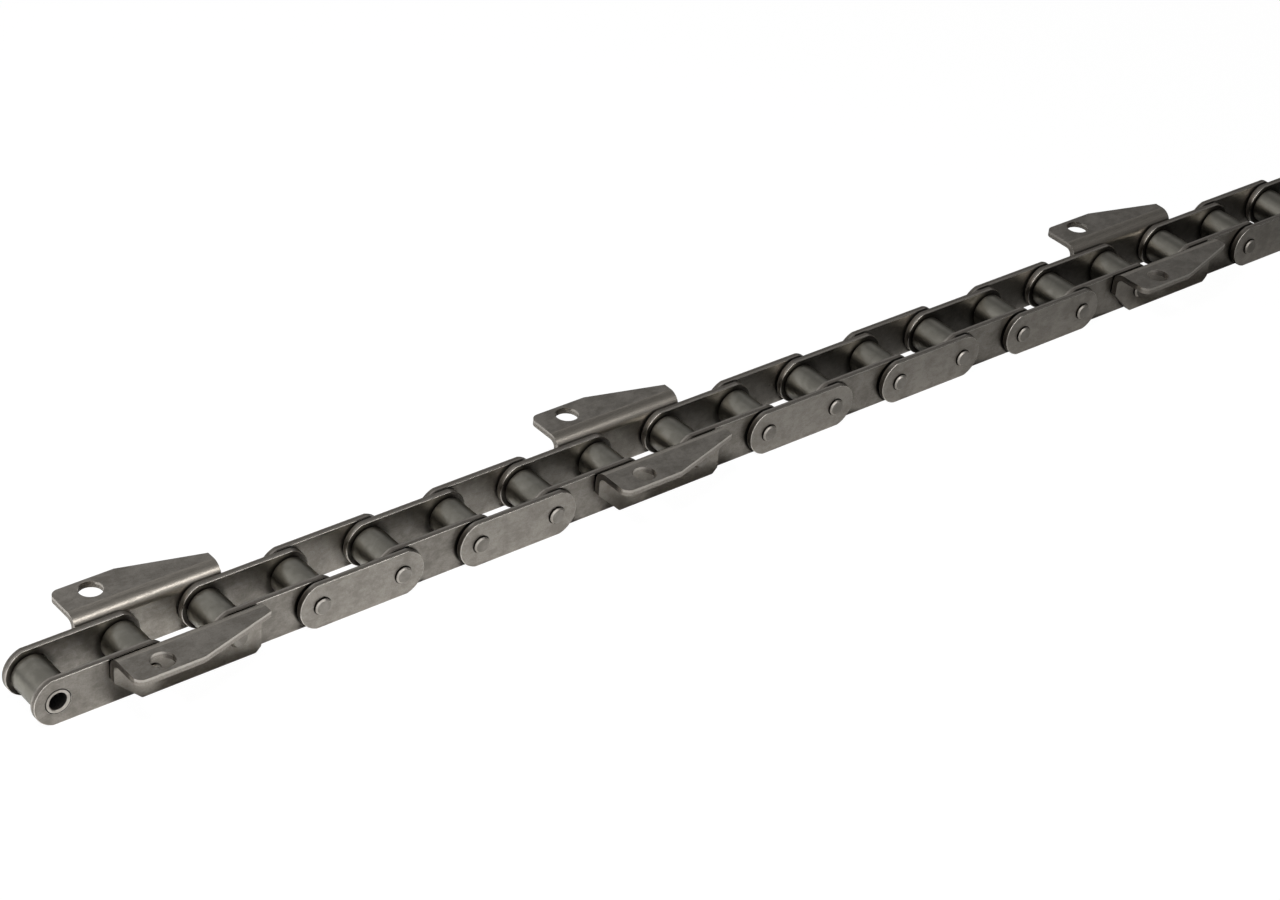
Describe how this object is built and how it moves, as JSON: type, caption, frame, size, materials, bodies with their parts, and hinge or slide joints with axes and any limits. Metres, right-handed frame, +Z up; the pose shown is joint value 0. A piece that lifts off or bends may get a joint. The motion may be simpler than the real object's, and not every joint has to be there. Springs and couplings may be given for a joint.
{
  "type": "conveyor chain",
  "caption": "Straight-sided roller chain with folded, drilled wing attachments on some outer links, for carrying slats on a conveyor.",
  "frame": {"origin": "centre of the bush at the chain's first end, on the axis of its bore and midway between the side plates", "axes": "+X along the chain to its other end, +Y across it along the pins, +Z up on the side that the wings face"},
  "size_m": [0.8086, 0.0722, 0.0256],
  "materials": {
    "inner_plate_steel": "oiled, satin",
    "outer_plate_steel": "oiled, satin",
    "wing_steel": "oiled, satin",
    "bush_steel": "turned, satin",
    "roller_steel": "turned, satin",
    "pin_steel": "turned, satin"
  },
  "bodies": {
    "inner_link_01": {"inner_plates_01": "inner_plate_steel", "bushes_01": "bush_steel"},
    "inner_link_02": {"inner_plates_02": "inner_plate_steel", "bushes_02": "bush_steel"},
    "inner_link_03": {"inner_plates_03": "inner_plate_steel", "bushes_03": "bush_steel"},
    "inner_link_04": {"inner_plates_04": "inner_plate_steel", "bushes_04": "bush_steel"},
    "inner_link_05": {"inner_plates_05": "inner_plate_steel", "bushes_05": "bush_steel"},
    "inner_link_06": {"inner_plates_06": "inner_plate_steel", "bushes_06": "bush_steel"},
    "inner_link_07": {"inner_plates_07": "inner_plate_steel", "bushes_07": "bush_steel"},
    "inner_link_08": {"inner_plates_08": "inner_plate_steel", "bushes_08": "bush_steel"},
    "inner_link_09": {"inner_plates_09": "inner_plate_steel", "bushes_09": "bush_steel"},
    "inner_link_10": {"inner_plates_10": "inner_plate_steel", "bushes_10": "bush_steel"},
    "outer_link_01": {"wing_plates_01": "wing_steel", "pins_01": "pin_steel"},
    "outer_link_02": {"outer_plates_02": "outer_plate_steel", "pins_02": "pin_steel"},
    "outer_link_03": {"outer_plates_03": "outer_plate_steel", "pins_03": "pin_steel"},
    "outer_link_04": {"wing_plates_04": "wing_steel", "pins_04": "pin_steel"},
    "outer_link_05": {"outer_plates_05": "outer_plate_steel", "pins_05": "pin_steel"},
    "outer_link_06": {"outer_plates_06": "outer_plate_steel", "pins_06": "pin_steel"},
    "outer_link_07": {"outer_plates_07": "outer_plate_steel", "pins_07": "pin_steel"},
    "outer_link_08": {"wing_plates_08": "wing_steel", "pins_08": "pin_steel"},
    "outer_link_09": {"outer_plates_09": "outer_plate_steel", "pins_09": "pin_steel"},
    "roller_01": {"roller_01": "roller_steel"},
    "roller_02": {"roller_02": "roller_steel"},
    "roller_03": {"roller_03": "roller_steel"},
    "roller_04": {"roller_04": "roller_steel"},
    "roller_05": {"roller_05": "roller_steel"},
    "roller_06": {"roller_06": "roller_steel"},
    "roller_07": {"roller_07": "roller_steel"},
    "roller_08": {"roller_08": "roller_steel"},
    "roller_09": {"roller_09": "roller_steel"},
    "roller_10": {"roller_10": "roller_steel"},
    "roller_11": {"roller_11": "roller_steel"},
    "roller_12": {"roller_12": "roller_steel"},
    "roller_13": {"roller_13": "roller_steel"},
    "roller_14": {"roller_14": "roller_steel"},
    "roller_15": {"roller_15": "roller_steel"},
    "roller_16": {"roller_16": "roller_steel"},
    "roller_17": {"roller_17": "roller_steel"},
    "roller_18": {"roller_18": "roller_steel"},
    "roller_19": {"roller_19": "roller_steel"},
    "roller_20": {"roller_20": "roller_steel"}
  },
  "joints": [
    {"name": "pin_hinge_01", "type": "hinge", "parent": "outer_link_01", "child": "inner_link_01", "pos_m": [0.0414, 0, 0], "axis": [0, 1, 0], "range_deg": [-141, 141]},
    {"name": "pin_hinge_02", "type": "hinge", "parent": "inner_link_02", "child": "outer_link_01", "pos_m": [0.0828, 0, 0], "axis": [0, -1, 0], "range_deg": [-141, 141]},
    {"name": "pin_hinge_03", "type": "hinge", "parent": "outer_link_02", "child": "inner_link_02", "pos_m": [0.1242, 0, 0], "axis": [0, 1, 0], "range_deg": [-141, 134]},
    {"name": "pin_hinge_04", "type": "hinge", "parent": "inner_link_03", "child": "outer_link_02", "pos_m": [0.1656, 0, 0], "axis": [0, -1, 0], "range_deg": [-145, 145]},
    {"name": "pin_hinge_05", "type": "hinge", "parent": "outer_link_03", "child": "inner_link_03", "pos_m": [0.207, 0, 0], "axis": [0, 1, 0], "range_deg": [-145, 145]},
    {"name": "pin_hinge_06", "type": "hinge", "parent": "inner_link_04", "child": "outer_link_03", "pos_m": [0.2484, 0, 0], "axis": [0, -1, 0], "range_deg": [-123, 141]},
    {"name": "pin_hinge_07", "type": "hinge", "parent": "outer_link_04", "child": "inner_link_04", "pos_m": [0.2898, 0, 0], "axis": [0, 1, 0], "range_deg": [-141, 141]},
    {"name": "pin_hinge_08", "type": "hinge", "parent": "inner_link_05", "child": "outer_link_04", "pos_m": [0.3312, 0, 0], "axis": [0, -1, 0], "range_deg": [-141, 141]},
    {"name": "pin_hinge_09", "type": "hinge", "parent": "outer_link_05", "child": "inner_link_05", "pos_m": [0.3726, 0, 0], "axis": [0, 1, 0], "range_deg": [-141, 134]},
    {"name": "pin_hinge_10", "type": "hinge", "parent": "outer_link_05", "child": "inner_link_06", "pos_m": [0.414, 0, 0], "axis": [0, 1, 0], "range_deg": [-145, 145]},
    {"name": "pin_hinge_11", "type": "hinge", "parent": "inner_link_06", "child": "outer_link_06", "pos_m": [0.4554, 0, 0], "axis": [0, -1, 0], "range_deg": [-145, 145]},
    {"name": "pin_hinge_12", "type": "hinge", "parent": "outer_link_06", "child": "inner_link_07", "pos_m": [0.4968, 0, 0], "axis": [0, 1, 0], "range_deg": [-145, 145]},
    {"name": "pin_hinge_13", "type": "hinge", "parent": "inner_link_07", "child": "outer_link_07", "pos_m": [0.5382, 0, 0], "axis": [0, -1, 0], "range_deg": [-145, 145]},
    {"name": "pin_hinge_14", "type": "hinge", "parent": "outer_link_07", "child": "inner_link_08", "pos_m": [0.5796, 0, 0], "axis": [0, 1, 0], "range_deg": [-123, 141]},
    {"name": "pin_hinge_15", "type": "hinge", "parent": "inner_link_08", "child": "outer_link_08", "pos_m": [0.621, 0, 0], "axis": [0, -1, 0], "range_deg": [-141, 141]},
    {"name": "pin_hinge_16", "type": "hinge", "parent": "outer_link_08", "child": "inner_link_09", "pos_m": [0.6624, 0, 0], "axis": [0, 1, 0], "range_deg": [-141, 141]},
    {"name": "pin_hinge_17", "type": "hinge", "parent": "inner_link_09", "child": "outer_link_09", "pos_m": [0.7038, 0, 0], "axis": [0, -1, 0], "range_deg": [-141, 134]},
    {"name": "pin_hinge_18", "type": "hinge", "parent": "outer_link_09", "child": "inner_link_10", "pos_m": [0.7452, 0, 0], "axis": [0, 1, 0], "range_deg": [-145, 145]},
    {"name": "roller_spin_01", "type": "hinge", "parent": "inner_link_01", "child": "roller_01", "pos_m": [0, 0, 0], "axis": [0, 1, 0], "continuous": true},
    {"name": "roller_spin_02", "type": "hinge", "parent": "inner_link_01", "child": "roller_02", "pos_m": [0.0414, 0, 0], "axis": [0, 1, 0], "continuous": true},
    {"name": "roller_spin_03", "type": "hinge", "parent": "inner_link_02", "child": "roller_03", "pos_m": [0.0828, 0, 0], "axis": [0, 1, 0], "continuous": true},
    {"name": "roller_spin_04", "type": "hinge", "parent": "inner_link_02", "child": "roller_04", "pos_m": [0.1242, 0, 0], "axis": [0, 1, 0], "continuous": true},
    {"name": "roller_spin_05", "type": "hinge", "parent": "inner_link_03", "child": "roller_05", "pos_m": [0.1656, 0, 0], "axis": [0, 1, 0], "continuous": true},
    {"name": "roller_spin_06", "type": "hinge", "parent": "inner_link_03", "child": "roller_06", "pos_m": [0.207, 0, 0], "axis": [0, 1, 0], "continuous": true},
    {"name": "roller_spin_07", "type": "hinge", "parent": "inner_link_04", "child": "roller_07", "pos_m": [0.2484, 0, 0], "axis": [0, 1, 0], "continuous": true},
    {"name": "roller_spin_08", "type": "hinge", "parent": "inner_link_04", "child": "roller_08", "pos_m": [0.2898, 0, 0], "axis": [0, 1, 0], "continuous": true},
    {"name": "roller_spin_09", "type": "hinge", "parent": "inner_link_05", "child": "roller_09", "pos_m": [0.3312, 0, 0], "axis": [0, 1, 0], "continuous": true},
    {"name": "roller_spin_10", "type": "hinge", "parent": "inner_link_05", "child": "roller_10", "pos_m": [0.3726, 0, 0], "axis": [0, 1, 0], "continuous": true},
    {"name": "roller_spin_11", "type": "hinge", "parent": "inner_link_06", "child": "roller_11", "pos_m": [0.414, 0, 0], "axis": [0, 1, 0], "continuous": true},
    {"name": "roller_spin_12", "type": "hinge", "parent": "inner_link_06", "child": "roller_12", "pos_m": [0.4554, 0, 0], "axis": [0, 1, 0], "continuous": true},
    {"name": "roller_spin_13", "type": "hinge", "parent": "inner_link_07", "child": "roller_13", "pos_m": [0.4968, 0, 0], "axis": [0, 1, 0], "continuous": true},
    {"name": "roller_spin_14", "type": "hinge", "parent": "inner_link_07", "child": "roller_14", "pos_m": [0.5382, 0, 0], "axis": [0, 1, 0], "continuous": true},
    {"name": "roller_spin_15", "type": "hinge", "parent": "inner_link_08", "child": "roller_15", "pos_m": [0.5796, 0, 0], "axis": [0, 1, 0], "continuous": true},
    {"name": "roller_spin_16", "type": "hinge", "parent": "inner_link_08", "child": "roller_16", "pos_m": [0.621, 0, 0], "axis": [0, 1, 0], "continuous": true},
    {"name": "roller_spin_17", "type": "hinge", "parent": "inner_link_09", "child": "roller_17", "pos_m": [0.6624, 0, 0], "axis": [0, 1, 0], "continuous": true},
    {"name": "roller_spin_18", "type": "hinge", "parent": "inner_link_09", "child": "roller_18", "pos_m": [0.7038, 0, 0], "axis": [0, 1, 0], "continuous": true},
    {"name": "roller_spin_19", "type": "hinge", "parent": "inner_link_10", "child": "roller_19", "pos_m": [0.7452, 0, 0], "axis": [0, 1, 0], "continuous": true},
    {"name": "roller_spin_20", "type": "hinge", "parent": "inner_link_10", "child": "roller_20", "pos_m": [0.7866, 0, 0], "axis": [0, 1, 0], "continuous": true}
  ]
}
